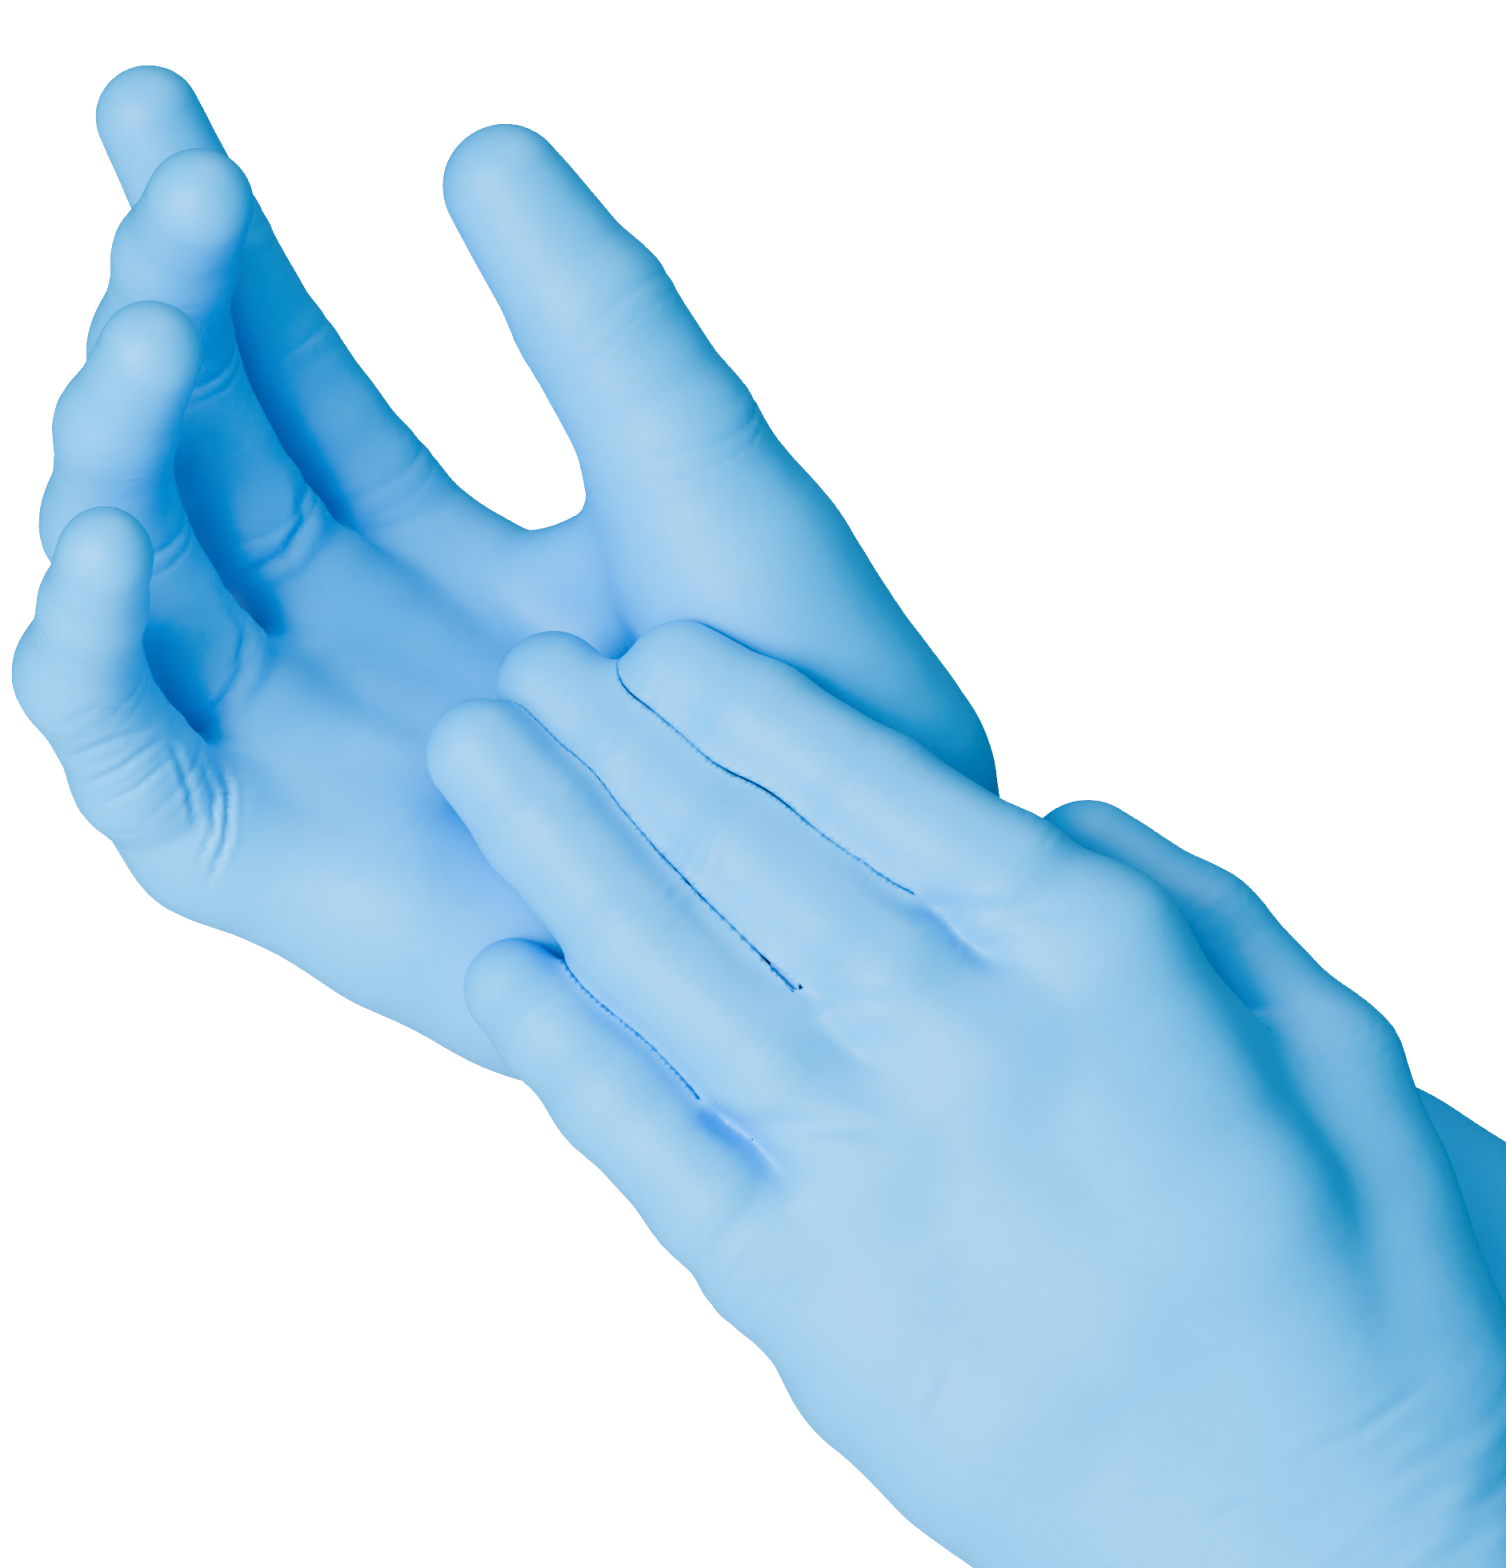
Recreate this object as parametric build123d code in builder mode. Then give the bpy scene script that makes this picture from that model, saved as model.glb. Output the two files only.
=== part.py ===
"""A pair of thin disposable work gloves with long cuffs, in the shape they take
when worn: the right glove open with its palm forward, the left glove resting
across the right wrist with its back forward.

Each glove is one dipped film.  It is divided here where it folds, so every
zone that moves on its own is a separate solid: palm shell, cuff, rolled bead,
and for each finger a root crease, a base sleeve, a middle crease and a closed
fingertip.

Frame: millimetres, +Z up, +X to the right, +Y away from the viewer.  The
origin is the centre of the right glove's cuff opening.
"""
from build123d import *
import math
import os

os.makedirs("parts", exist_ok=True)

# ---------------------------------------------------------------- dimensions
WALL = 0.6            # stand-in film thickness
BEAD_R = 1.3          # radius of the rolled bead section
CUFF_OPEN_RX = 34.0   # cuff opening, half width across the forearm
CUFF_OPEN_RY = 31.0   # cuff opening, half depth
CUFF_MID_RX = 30.5    # half way down the cuff
CUFF_MID_RY = 22.5
WRIST_RX = 29.0       # wrist, half width and half depth
WRIST_RY = 19.0
# Sections of the palm between wrist and knuckles: place along the palm, share of
# the widening from wrist to knuckles, and half thickness.
PALM_STATIONS = ((0.16, 0.14, 18.3), (0.34, 0.44, 17.2), (0.52, 0.72, 16.2), (0.70, 0.91, 15.0), (0.86, 0.99, 13.8))
KNUCKLE_RY = 12.4     # half thickness at the knuckles
PALM_END_RY = 10.4    # half thickness where the palm closes between the fingers
ROOT_GAP = 0.66       # half length of a root crease, in finger radii
MID_GAP = 0.74        # half length of a middle crease, in finger radii
SEAM = 0.06           # clearance left at each end of a crease
SIDE = {"right": 0.86, "left": 0.80}   # finger width, as a part of its full size
DEEP = 0.95                            # finger depth, as a part of its full size

THUMB_START = {"right": -6.0, "left": 5.0}   # where the thumb base begins, from the thumb's knuckle

FINGERS = ("thumb", "index", "middle", "ring", "little")

# Finger centre lines: knuckle, root crease, middle crease, end joint and
# centre of the fingertip, each as x, y, z and the radius there.
LINES = {
    "right": {
        "thumb": [(-113.5, -24.0, 97.7, 17.0), (-137.9, -37.0, 144.6, 12.6), (-149.2, -41.0, 163.1, 11.2), (-161.2, -45.0, 180.3, 8.6)],
        "index": [(-167.7, -2.0, 124.4, 11.0), (-181.8, -6.0, 140.1, 9.6), (-194.4, -12.0, 157.6, 9.0), (-204.0, -20.0, 174.8, 8.4), (-211.8, -26.0, 191.3, 7.4)],
        "middle": [(-186.0, -17.0, 121.4, 11.0), (-198.0, -24.0, 134.0, 9.6), (-209.6, -33.0, 158.0, 9.0), (-206.1, -51.0, 170.0, 8.4), (-201.9, -64.0, 176.5, 7.4)],
        "ring": [(-195.3, -32.0, 105.0, 10.5), (-204.0, -38.0, 114.8, 9.2), (-215.3, -49.0, 133.5, 8.7), (-213.1, -66.0, 146.1, 8.0), (-207.7, -78.0, 155.3, 7.1)],
        "little": [(-202.3, -44.0, 90.0, 10.5), (-211.0, -53.0, 99.2, 9.0), (-218.0, -68.0, 112.8, 8.0), (-214.9, -83.0, 121.7, 7.2), (-212.3, -94.0, 127.9, 6.4)],
    },
    "left": {
        "thumb": [(-40.4, -52.0, 11.6, 17.0), (-48.3, -40.0, 57.0, 12.8), (-65.9, -34.5, 75.6, 10.5), (-80.3, -33.0, 86.8, 8.4)],
        "index": [(-79.9, -65.0, 74.9, 11.5), (-92.2, -64.0, 83.4, 9.6), (-110.1, -58.0, 95.5, 9.0), (-125.9, -52.5, 105.6, 8.4), (-136.9, -47.5, 112.6, 7.4)],
        "middle": [(-95.1, -68.0, 60.4, 11.5), (-108.2, -66.0, 71.3, 9.8), (-128.1, -56.0, 87.9, 9.2), (-143.6, -47.0, 101.0, 8.5), (-154.6, -42.0, 110.9, 7.6)],
        "ring": [(-109.7, -67.0, 46.3, 11.0), (-124.0, -65.0, 59.6, 9.4), (-142.3, -60.0, 76.5, 8.8), (-155.6, -54.5, 92.2, 8.2), (-164.1, -52.0, 101.9, 7.2)],
        "little": [(-124.3, -64.0, 33.7, 10.5), (-131.5, -64.0, 41.1, 8.8), (-145.5, -61.0, 55.3, 8.2), (-154.1, -57.0, 64.5, 7.4), (-159.5, -54.0, 69.7, 6.6)],
    },
}

# Fold axes of each finger at its root crease and middle crease.
AXES = {
    "right": {
        "thumb": ((0.857, -0.176, 0.485), (0.841, -0.182, 0.510)),
        "index": ((0.437, 0.680, 0.589), (0.391, 0.678, 0.622)),
        "middle": ((0.419, 0.679, 0.602), (0.562, 0.575, 0.594)),
        "ring": ((0.341, 0.674, 0.655), (0.366, 0.619, 0.695)),
        "little": ((0.079, 0.620, 0.781), (0.061, 0.552, 0.832)),
    },
    "left": {
        "thumb": ((-0.498, -0.830, -0.251), (-0.436, -0.834, -0.338)),
        "index": ((-0.558, 0.032, -0.829), (-0.541, 0.033, -0.840)),
        "middle": ((-0.635, 0.026, -0.772), (-0.633, 0.026, -0.774)),
        "ring": ((-0.677, 0.022, -0.736), (-0.717, 0.018, -0.696)),
        "little": ((-0.713, 0.018, -0.701), (-0.719, 0.018, -0.695)),
    },
}

# Wrist centre, a point half way down the cuff, and the centre of the opening.
ARM = {
    "right": [(-102.0, -14.0, 60.2), (-45.8, -6.0, 26.8), (0.0, 0.0, 0.0)],
    "left": [(-48.6, -60.0, -12.3), (-12.7, -60.0, -53.6), (21.1, -60.0, -91.8)],
}


# ------------------------------------------------------------------- helpers
def station(origin, forward, across, rx, ry):
    """An elliptical section: its plane faces forward, its long axis lies across."""
    z = forward.normalized()
    x = (across - z * across.dot(z)).normalized()
    return Plane(origin=origin, x_dir=x, z_dir=z), rx, ry


def inward(stations, wall, open_start, open_end, over=1.0):
    """The same run of sections, one wall smaller; it runs past an open end and
    stops one wall short of a closed one."""
    inner = []
    for i, (plane, rx, ry) in enumerate(stations):
        shift = 0.0
        if i == 0:
            shift = -over if open_start else wall
        if i == len(stations) - 1:
            shift = over if open_end else -wall
        moved = Plane(origin=plane.origin + plane.z_dir * shift, x_dir=plane.x_dir, z_dir=plane.z_dir)
        inner.append((moved, max(rx - wall, 0.8), max(ry - wall, 0.8)))
    return inner


def faces_of(stations):
    """One elliptical face for each section."""
    made = []
    for plane, rx, ry in stations:
        with BuildSketch(plane) as profile:
            Ellipse(rx, ry)
        made.append(profile.sketch)
    return made


def finger(side, name):
    """Points, radii, directions, fold axes and gap lengths of one finger."""
    data = LINES[side][name]
    pts = [Vector(*d[:3]) for d in data]
    rads = [d[3] for d in data]
    dirs = [(b - a).normalized() for a, b in zip(pts, pts[1:])]
    ax = [Vector(*v) for v in AXES[side][name]]
    gap0 = ROOT_GAP * DEEP * rads[1]
    gap1 = MID_GAP * DEEP * rads[2]
    return pts, rads, dirs, ax, gap0, gap1


# ---------------------------------------------------------------- the gloves
for side in ("right", "left"):
    w = SIDE[side]
    wrist, mid, opening = [Vector(*p) for p in ARM[side]]
    knuckles = {n: Vector(*LINES[side][n][0][:3]) for n in FINGERS[1:]}
    knuckle_mid = (knuckles["index"] + knuckles["middle"] + knuckles["ring"] + knuckles["little"]) / 4
    across_k = (knuckles["index"] - knuckles["little"])
    half_k = across_k.length / 2 + 9.0
    across_k = across_k.normalized()
    along = (knuckle_mid - wrist).normalized()
    across_w = (across_k - along * across_k.dot(along)).normalized()
    arm_dir = (wrist - mid).normalized()
    wrist_dir = (along + arm_dir).normalized()
    palm_len = (knuckle_mid - wrist).length
    normal = across_k.cross(along).normalized()
    fwd_k = normal.cross(across_k).normalized()
    if fwd_k.dot(along) < 0:
        fwd_k = fwd_k * -1

    # palm shell: wrist to knuckle line, with five short sockets ----------
    palm = [station(wrist, wrist_dir, across_w, WRIST_RX, WRIST_RY)]
    for t, widen, ry in PALM_STATIONS:
        palm.append(station(wrist + along * (palm_len * t), wrist_dir * (1 - t) + fwd_k * t,
                            across_w * (1 - t) + across_k * t, WRIST_RX + widen * (half_k - WRIST_RX), ry))
    palm.append(station(knuckle_mid, fwd_k, across_k, half_k, KNUCKLE_RY))
    palm.append(station(knuckle_mid + fwd_k * 1.5, fwd_k, across_k, half_k - 6.0, PALM_END_RY))

    sockets = []
    for name in FINGERS:
        pts, rads, dirs, ax, gap0, gap1 = finger(side, name)
        end = pts[1] - dirs[0] * gap0
        if name == "thumb":
            run = [station(pts[0] + dirs[0] * THUMB_START[side], dirs[0], ax[0], rads[0] * 0.78, rads[0] * 0.78),
                   station(pts[0] + dirs[0] * 16.0, dirs[0], ax[0], rads[0] * 0.90, rads[0] * 0.90),
                   station(end, dirs[0], ax[0], rads[1] * w, rads[1] * DEEP)]
        else:
            run = [station(pts[0] - dirs[0] * 5.0, dirs[0], ax[0], rads[0] * w, rads[0] * DEEP),
                   station(end, dirs[0], ax[0], rads[1] * w, rads[1] * DEEP)]
        sockets.append(run)

    with BuildPart() as palm_shell:
        loft(sections=faces_of(palm), ruled=True)
        for run in sockets:
            loft(sections=faces_of(run), ruled=True)
        loft(sections=faces_of(inward(palm, WALL, True, False)), ruled=True, mode=Mode.SUBTRACT)
        for run in sockets:
            loft(sections=faces_of(inward(run, WALL, False, True)), ruled=True, mode=Mode.SUBTRACT)
    palm_shell.part.label = f"{side}_palm_shell"
    export_step(palm_shell.part, f"parts/{side}_palm_shell.step")

    # cuff: a long, slightly flared sleeve below the wrist -------------------
    cuff_run = [station(opening, (mid - opening), across_w, CUFF_OPEN_RX, CUFF_OPEN_RY),
                station(mid, (wrist - opening), across_w, CUFF_MID_RX, CUFF_MID_RY),
                station(wrist, wrist_dir, across_w, WRIST_RX, WRIST_RY)]
    with BuildPart() as cuff:
        loft(sections=faces_of(cuff_run))
        loft(sections=faces_of(inward(cuff_run, WALL, True, True)), mode=Mode.SUBTRACT)
    cuff.part.label = f"{side}_cuff"
    export_step(cuff.part, f"parts/{side}_cuff.step")

    # rolled bead round the opening ------------------------------------------
    rim, rim_rx, rim_ry = cuff_run[0]
    rim = Plane(origin=rim.origin - rim.z_dir * BEAD_R, x_dir=rim.x_dir, z_dir=rim.z_dir)
    with BuildPart() as bead:
        with BuildLine(rim) as rim_path:
            EllipticalCenterArc((0, 0), rim_rx - WALL / 2, rim_ry - WALL / 2, start_angle=0, arc_size=360)
        path = rim_path.wires()[0]
        with BuildSketch(Plane(origin=path @ 0, z_dir=path % 0)) as bead_profile:
            Circle(BEAD_R)
        sweep(sections=bead_profile.sketch, path=path)
    bead.part.label = f"{side}_cuff_bead"
    export_step(bead.part, f"parts/{side}_cuff_bead.step")

    # fingers --------------------------------------------------------------
    for name in FINGERS:
        pts, rads, dirs, ax, gap0, gap1 = finger(side, name)
        rx = [r * w for r in rads]
        ry = [r * DEEP for r in rads]

        # root crease: the folding ring between palm and base sleeve
        root_run = [station(pts[1] - dirs[0] * (gap0 - SEAM), dirs[0], ax[0], rx[1], ry[1]),
                    station(pts[1], dirs[0] + dirs[1], ax[0], rx[1], ry[1]),
                    station(pts[1] + dirs[1] * (gap0 - SEAM), dirs[1], ax[0], rx[1], ry[1])]
        with BuildPart() as root_crease:
            loft(sections=faces_of(root_run))
            loft(sections=faces_of(inward(root_run, WALL, True, True)), mode=Mode.SUBTRACT)
        root_crease.part.label = f"{side}_{name}_root_crease"
        export_step(root_crease.part, f"parts/{side}_{name}_root_crease.step")

        # base sleeve: the free first length of the finger
        base_run = [station(pts[1] + dirs[1] * gap0, dirs[1], ax[0], rx[1], ry[1]),
                    station(pts[2] - dirs[1] * gap1, dirs[1], ax[0], rx[2], ry[2])]
        with BuildPart() as base_sleeve:
            loft(sections=faces_of(base_run))
            loft(sections=faces_of(inward(base_run, WALL, True, True)), mode=Mode.SUBTRACT)
        base_sleeve.part.label = f"{side}_{name}_base_sleeve"
        export_step(base_sleeve.part, f"parts/{side}_{name}_base_sleeve.step")

        # middle crease: the folding ring between base sleeve and fingertip
        mid_run = [station(pts[2] - dirs[1] * (gap1 - SEAM), dirs[1], ax[1], rx[2], ry[2]),
                   station(pts[2], dirs[1] + dirs[2], ax[1], rx[2], ry[2]),
                   station(pts[2] + dirs[2] * (gap1 - SEAM), dirs[2], ax[1], rx[2], ry[2])]
        with BuildPart() as middle_crease:
            loft(sections=faces_of(mid_run))
            loft(sections=faces_of(inward(mid_run, WALL, True, True)), mode=Mode.SUBTRACT)
        middle_crease.part.label = f"{side}_{name}_middle_crease"
        export_step(middle_crease.part, f"parts/{side}_{name}_middle_crease.step")

        # fingertip: the closed end of the finger, with its small end bend
        tip_run = [station(pts[2] + dirs[2] * gap1, dirs[2], ax[1], rx[2], ry[2])]
        if len(pts) == 5:
            tip_run.append(station(pts[3], dirs[2] + dirs[3], ax[1], rx[3], ry[3]))
        tip, fwd, r_x, r_y = pts[-1], dirs[-1], rx[-1], ry[-1]
        tip_run.append(station(tip, fwd, ax[1], r_x, r_y))
        for s in (0.35, 0.62, 0.82, 0.95):
            c = math.sqrt(1 - s * s)
            tip_run.append(station(tip + fwd * (rads[-1] * s), fwd, ax[1], r_x * c, r_y * c))
        with BuildPart() as fingertip:
            loft(sections=faces_of(tip_run), ruled=True)
            loft(sections=faces_of(inward(tip_run, WALL, True, False)), ruled=True, mode=Mode.SUBTRACT)
        fingertip.part.label = f"{side}_{name}_fingertip"
        export_step(fingertip.part, f"parts/{side}_{name}_fingertip.step")

print("opening to wrist, mm:", round((Vector(*ARM["right"][0]) - Vector(*ARM["right"][2])).length, 1))
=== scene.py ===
import math

import bmesh
import bpy
import numpy as np
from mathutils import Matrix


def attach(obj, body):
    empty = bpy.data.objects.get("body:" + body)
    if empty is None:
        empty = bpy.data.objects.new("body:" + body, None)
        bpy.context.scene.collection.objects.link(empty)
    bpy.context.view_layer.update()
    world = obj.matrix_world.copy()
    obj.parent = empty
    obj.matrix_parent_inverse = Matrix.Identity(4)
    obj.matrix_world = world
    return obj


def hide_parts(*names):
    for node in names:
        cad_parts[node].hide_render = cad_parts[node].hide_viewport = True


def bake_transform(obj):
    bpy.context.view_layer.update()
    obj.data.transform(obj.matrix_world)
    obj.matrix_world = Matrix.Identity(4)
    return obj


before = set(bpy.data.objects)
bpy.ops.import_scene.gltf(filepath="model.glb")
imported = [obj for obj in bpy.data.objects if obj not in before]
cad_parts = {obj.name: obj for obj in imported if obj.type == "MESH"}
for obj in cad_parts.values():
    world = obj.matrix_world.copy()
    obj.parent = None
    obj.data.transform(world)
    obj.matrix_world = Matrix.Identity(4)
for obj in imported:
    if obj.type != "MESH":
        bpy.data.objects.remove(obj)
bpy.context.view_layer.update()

from concurrent.futures import ThreadPoolExecutor

# ------------------------------------------------------------------ skeleton
# Millimetres, in the row frame: the same centre lines as the CAD pieces.
FINGERS = ("thumb", "index", "middle", "ring", "little")
LINES = {
    "right": {
        "thumb": [(-113.5, -24.0, 97.7, 17.0), (-137.9, -37.0, 144.6, 12.6), (-149.2, -41.0, 163.1, 11.2), (-161.2, -45.0, 180.3, 8.6)],
        "index": [(-167.7, -2.0, 124.4, 11.0), (-181.8, -6.0, 140.1, 9.6), (-194.4, -12.0, 157.6, 9.0), (-204.0, -20.0, 174.8, 8.4), (-211.8, -26.0, 191.3, 7.4)],
        "middle": [(-186.0, -17.0, 121.4, 11.0), (-198.0, -24.0, 134.0, 9.6), (-209.6, -33.0, 158.0, 9.0), (-206.1, -51.0, 170.0, 8.4), (-201.9, -64.0, 176.5, 7.4)],
        "ring": [(-195.3, -32.0, 105.0, 10.5), (-204.0, -38.0, 114.8, 9.2), (-215.3, -49.0, 133.5, 8.7), (-213.1, -66.0, 146.1, 8.0), (-207.7, -78.0, 155.3, 7.1)],
        "little": [(-202.3, -44.0, 90.0, 10.5), (-211.0, -53.0, 99.2, 9.0), (-218.0, -68.0, 112.8, 8.0), (-214.9, -83.0, 121.7, 7.2), (-212.3, -94.0, 127.9, 6.4)],
    },
    "left": {
        "thumb": [(-40.4, -52.0, 11.6, 17.0), (-48.3, -40.0, 57.0, 12.8), (-65.9, -34.5, 75.6, 10.5), (-80.3, -33.0, 86.8, 8.4)],
        "index": [(-79.9, -65.0, 74.9, 11.5), (-92.2, -64.0, 83.4, 9.6), (-110.1, -58.0, 95.5, 9.0), (-125.9, -52.5, 105.6, 8.4), (-136.9, -47.5, 112.6, 7.4)],
        "middle": [(-95.1, -68.0, 60.4, 11.5), (-108.2, -66.0, 71.3, 9.8), (-128.1, -56.0, 87.9, 9.2), (-143.6, -47.0, 101.0, 8.5), (-154.6, -42.0, 110.9, 7.6)],
        "ring": [(-109.7, -67.0, 46.3, 11.0), (-124.0, -65.0, 59.6, 9.4), (-142.3, -60.0, 76.5, 8.8), (-155.6, -54.5, 92.2, 8.2), (-164.1, -52.0, 101.9, 7.2)],
        "little": [(-124.3, -64.0, 33.7, 10.5), (-131.5, -64.0, 41.1, 8.8), (-145.5, -61.0, 55.3, 8.2), (-154.1, -57.0, 64.5, 7.4), (-159.5, -54.0, 69.7, 6.6)],
    },
}
ARM = {
    "right": [(-102.0, -14.0, 60.2), (-45.8, -6.0, 26.8), (0.0, 0.0, 0.0)],
    "left": [(-48.6, -60.0, -12.3), (-12.7, -60.0, -53.6), (21.1, -60.0, -91.8)],
}
CAMERA = np.array([-126.9, -1138.0, 97.71])   # where the viewer stands
PX = 9900.0                                    # picture widths per unit slope


def V(*a):
    return np.array(a, float)


def unit(v):
    return v / np.linalg.norm(v)


# --------------------------------------------------------------- field tools
def rcone(p, a, b, r1, r2):
    ba = b - a
    l2 = ba @ ba
    rr = r1 - r2
    a2 = l2 - rr * rr
    il2 = 1.0 / l2
    pa = p - a
    y = pa @ ba
    z = y - l2
    w = pa * l2 - np.outer(y, ba)
    x2 = np.einsum("ij,ij->i", w, w)
    y2 = y * y * l2
    z2 = z * z * l2
    k = np.sign(rr) * rr * rr * x2
    out = (np.sqrt(np.maximum(x2 * a2 * il2, 0)) + y * rr) * il2 - r1
    m1 = np.sign(z) * a2 * z2 > k
    m2 = (~m1) & (np.sign(y) * a2 * y2 < k)
    out[m1] = np.sqrt(x2[m1] + z2[m1]) * il2 - r2
    out[m2] = np.sqrt(x2[m2] + y2[m2]) * il2 - r1
    return out


def smin(a, b, k):
    h = np.clip(0.5 + 0.5 * (b - a) / k, 0, 1)
    return b * (1 - h) + a * h - k * h * (1 - h)


def smax(a, b, k):
    return -smin(-a, -b, k)


def step(x, lo, hi):
    t = np.clip((x - lo) / (hi - lo), 0, 1)
    return t * t * (3 - 2 * t)


_rng = np.random.default_rng(7)


def wave_set(n, scale, seed):
    g = np.random.default_rng(seed)
    d = g.normal(size=(n, 3))
    d /= np.linalg.norm(d, axis=1)[:, None]
    k = 2 * math.pi / (scale * g.uniform(0.7, 1.5, n))
    return d * k[:, None], g.uniform(0, 6.28, n)


WAVES = {s: wave_set(9, s, int(s * 10)) for s in (46.0, 19.0, 8.0, 3.6)}


def noise(p, scale):
    d, ph = WAVES[scale]
    return np.sin(p @ d.T + ph).sum(1) / 3.0


POOL = ThreadPoolExecutor(4)


def spread(field, p, chunk=12000):
    """The field at many points, worked out in equal shares side by side."""
    if len(p) <= chunk:
        return field(p)
    parts = [p[i:i + chunk] for i in range(0, len(p), chunk)]
    return np.concatenate(list(POOL.map(field, parts)))


def seg_dist(q, a, b):
    """Distance from points q to the segment ab, and the place along it."""
    ab = b - a
    t = np.clip(((q - a) @ ab) / (ab @ ab), 0, 1)
    return np.linalg.norm(q - (a + t[:, None] * ab), axis=1), t


# -------------------------------------------------------------- a glove model
class Glove:
    def __init__(self, side):
        self.side = side
        self.J = {n: [V(*q[:3]) for q in LINES[side][n]] for n in FINGERS}
        self.r = {n: [q[3] for q in LINES[side][n]] for n in FINGERS}
        self.W, self.M, self.O = [V(*q) for q in ARM[side]]
        if side == "left":
            for n in FINGERS[1:]:
                self.J[n][0] = self.J[n][0] + V(0, 1.6, 0)
            self.r["thumb"][1] = 11.0
        self.K = np.mean([self.J[n][0] for n in FINGERS[1:]], axis=0)
        self.along = unit(self.K - self.W)
        u = unit(self.J["index"][0] - self.J["little"][0])
        self.across = unit(u - self.along * (u @ self.along))
        n = np.cross(self.along, self.across)
        want = -1.0 if side == "right" else 1.0
        self.palmar = n if n[1] * want > 0 else -n
        self.arm = unit(self.M - self.W)
        self.wdir = unit(self.along - self.arm)
        self.d = {n: [unit(b - a) for a, b in zip(self.J[n], self.J[n][1:])] for n in FINGERS}
        # planes between the pieces of each finger, and the bending zones
        self.cut = {}
        for n in FINGERS:
            j, d = self.J[n], self.d[n]
            L = np.linalg.norm(j[2] - j[1])
            m = unit(d[1] + d[2])
            root_end = {"thumb": 10.5, "index": 10.5, "middle": 11.5, "ring": 11.0, "little": 9.2}[n]
            half = {"thumb": 6.5, "index": 6.5, "middle": 7.0, "ring": 6.5, "little": 5.6}[n]
            self.cut[n] = [(j[1] - d[1] * 1.0, d[1]), (j[1] + d[1] * (root_end + 0.6), d[1]),
                           (j[2] - m * (half + 0.5), m), (j[2] + m * (half + 0.5), m)]
            self.cut[n + "_zone"] = [(j[1] - d[1] * 0.5, j[1] + d[1] * root_end),
                                     (j[2] - m * half, j[2] + m * half)]
        self.other = None
        self.plump = 0.35 if side == "left" else 0.0

    # raw finger: round cones from joint to joint, a little fuller at the joints
    def finger(self, p, n):
        j, r = self.J[n], self.r[n]
        f = rcone(p, j[0], j[1], r[0] - (0 if n == "thumb" else 1.4), r[1])
        for i in range(1, len(j) - 1):
            turn = math.acos(min(1.0, float(self.d[n][i - 1] @ self.d[n][i])))
            k = 1.8 + 5.5 * min(1.0, turn / 1.1)
            f = smin(f, rcone(p, j[i], j[i + 1], r[i] - 0.2, r[i + 1]), k)
        return f - self.plump

    def palm(self, p):
        u, W = self.across, self.W
        rw = 17.5 if self.side == "right" else 17.0
        f = None
        for n, off in (("index", 11.5), ("middle", 4.0), ("ring", -4.0), ("little", -11.5)):
            k = self.J[n][0]
            mid = (W + u * off) * 0.45 + k * 0.55
            rm = {"index": 14.5, "middle": 13.5, "ring": 13.5, "little": 14.5}[n]
            rk = self.r[n][0] - (0.6 if self.side == "right" else 1.6)
            g = smin(rcone(p, W + u * off, mid, rw, rm), rcone(p, mid, k, rm, rk), 4.0)
            f = g if f is None else smin(f, g, 9.0 if self.side == "right" else 16.0)
        # the hand between the finger bones is nearly flat
        for (na, oa), (nb, ob) in zip((("index", 11.5), ("middle", 4.0), ("ring", -4.0)), (("middle", 4.0), ("ring", -4.0), ("little", -11.5))):
            ka, kb = self.J[na][0], self.J[nb][0]
            k = (ka + kb) * 0.5 - (self.d[na][0] + self.d[nb][0]) * 1.5
            w = W + u * (oa + ob) * 0.5
            mid = w * 0.45 + k * 0.55
            rk = (self.r[na][0] + self.r[nb][0]) * 0.5 - (1.0 if self.side == "right" else 1.4)
            f = smin(f, smin(rcone(p, w, mid, rw, 13.6), rcone(p, mid, k, 13.6, rk), 4.0), 5.0)
        # ball of the thumb, and the skin between thumb and index finger
        t0, t1 = self.J["thumb"][0], self.J["thumb"][1]
        f = smin(f, rcone(p, W + u * 9 + self.palmar * 2, t0, 16.0, 17.0), 9.0)
        tm = t0 + (t1 - t0) * 0.6
        f = smin(f, rcone(p, t0, tm, 17.0, 17.0 + (self.r["thumb"][1] - 17.0) * 0.6 - 0.5), 8.0)
        ki = self.J["index"][0]
        for a, b, ra, rb in ((0.25, 0.55, 11.0, 10.5), (0.55, 0.85, 7.5, 7.5), (0.78, 1.0, 5.5, 7.0)):
            pa = t0 + (t1 - t0) * a
            pb = W + u * 11.5 + (ki - W - u * 11.5) * b
            f = smin(f, rcone(p, pa, pb, ra, rb), 8.0)
        if self.side == "right":
            # the web's edge rounds into the thumb
            c = [V(-143.2, -32, 141.5), V(-146.8, -24, 134.5), V(-151.5, -16, 128.6)]
            f = smin(f, np.minimum(rcone(p, c[0], c[1], 2.6, 3.2), rcone(p, c[1], c[2], 3.2, 2.6)), 5.0)
        # heel of the hand on the little-finger side
        kl = self.J["little"][0]
        h0 = W + (kl - W) * 0.22 - u * 6 + self.palmar * 2
        if self.side == "right":
            h1, rh = W + (kl - W) * 0.72 - u * 2 + self.palmar * 2, 12.5
        else:
            h1, rh = W + (kl - W) * 0.74 - u * 4 + self.palmar * 2, 13.0
        f = smin(f, rcone(p, h0, h1, 15.0, rh), 9.0)
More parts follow.
